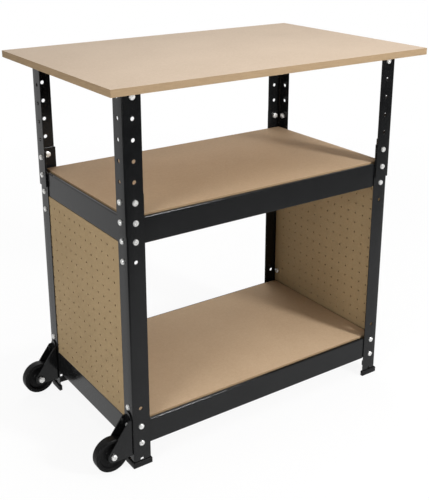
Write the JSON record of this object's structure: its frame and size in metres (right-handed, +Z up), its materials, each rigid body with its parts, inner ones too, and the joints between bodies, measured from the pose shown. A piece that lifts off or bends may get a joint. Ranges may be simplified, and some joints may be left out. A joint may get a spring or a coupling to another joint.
{
  "type": "three-tier workshop trolley",
  "caption": "Bolted steel-angle workshop trolley with fibreboard decks, perforated side panels and fixed wheels at one end for tilting and rolling.",
  "frame": {"origin": "on the floor under the middle of the whole trolley's box", "axes": "+X along the long side, away from the wheels; +Y from front to back; +Z up"},
  "size_m": [0.8336, 0.51, 0.831],
  "materials": {
    "black_powder_coat": "satin",
    "fibreboard": "matt",
    "perforated_hardboard": "matt",
    "black_plastic": "matt",
    "zinc_plate": "satin"
  },
  "bodies": {
    "frame": {"axle_bolt_front": "zinc_plate", "axle_bolt_rear": "zinc_plate", "axle_nut_front": "zinc_plate", "axle_nut_rear": "zinc_plate", "axle_sleeve_front": "zinc_plate", "axle_sleeve_rear": "zinc_plate", "bottom_beam_back": "black_powder_coat", "bottom_beam_front": "black_powder_coat", "bottom_beam_left": "black_powder_coat", "bottom_beam_right": "black_powder_coat", "bottom_shelf_board": "fibreboard", "foot_cap_back_left": "black_plastic", "foot_cap_back_right": "black_plastic", "foot_cap_front_left": "black_plastic", "foot_cap_front_right": "black_plastic", "lower_leg_back_left": "black_powder_coat", "lower_leg_back_right": "black_powder_coat", "lower_leg_front_left": "black_powder_coat", "lower_leg_front_right": "black_powder_coat", "mid_beam_back": "black_powder_coat", "mid_beam_front": "black_powder_coat", "mid_beam_left": "black_powder_coat", "mid_beam_right": "black_powder_coat", "mid_shelf_board": "fibreboard", "pegboard_left": "perforated_hardboard", "pegboard_right": "perforated_hardboard", "top_board": "fibreboard", "top_bracket_back_left": "black_powder_coat", "top_bracket_back_right": "black_powder_coat", "top_bracket_front_left": "black_powder_coat", "top_bracket_front_right": "black_powder_coat", "upper_leg_back_left": "black_powder_coat", "upper_leg_back_right": "black_powder_coat", "upper_leg_front_left": "black_powder_coat", "upper_leg_front_right": "black_powder_coat", "wheel_bracket_front": "black_powder_coat", "wheel_bracket_rear": "black_powder_coat"},
    "front_wheel": {"wheel_front": "black_plastic"},
    "rear_wheel": {"wheel_rear": "black_plastic"}
  },
  "joints": [
    {"name": "front_wheel_spin", "type": "hinge", "parent": "frame", "child": "front_wheel", "pos_m": [-0.37925, -0.186, 0.0445], "axis": [0, 1, 0], "continuous": true},
    {"name": "rear_wheel_spin", "type": "hinge", "parent": "frame", "child": "rear_wheel", "pos_m": [-0.37925, 0.186, 0.0445], "axis": [0, 1, 0], "continuous": true}
  ]
}
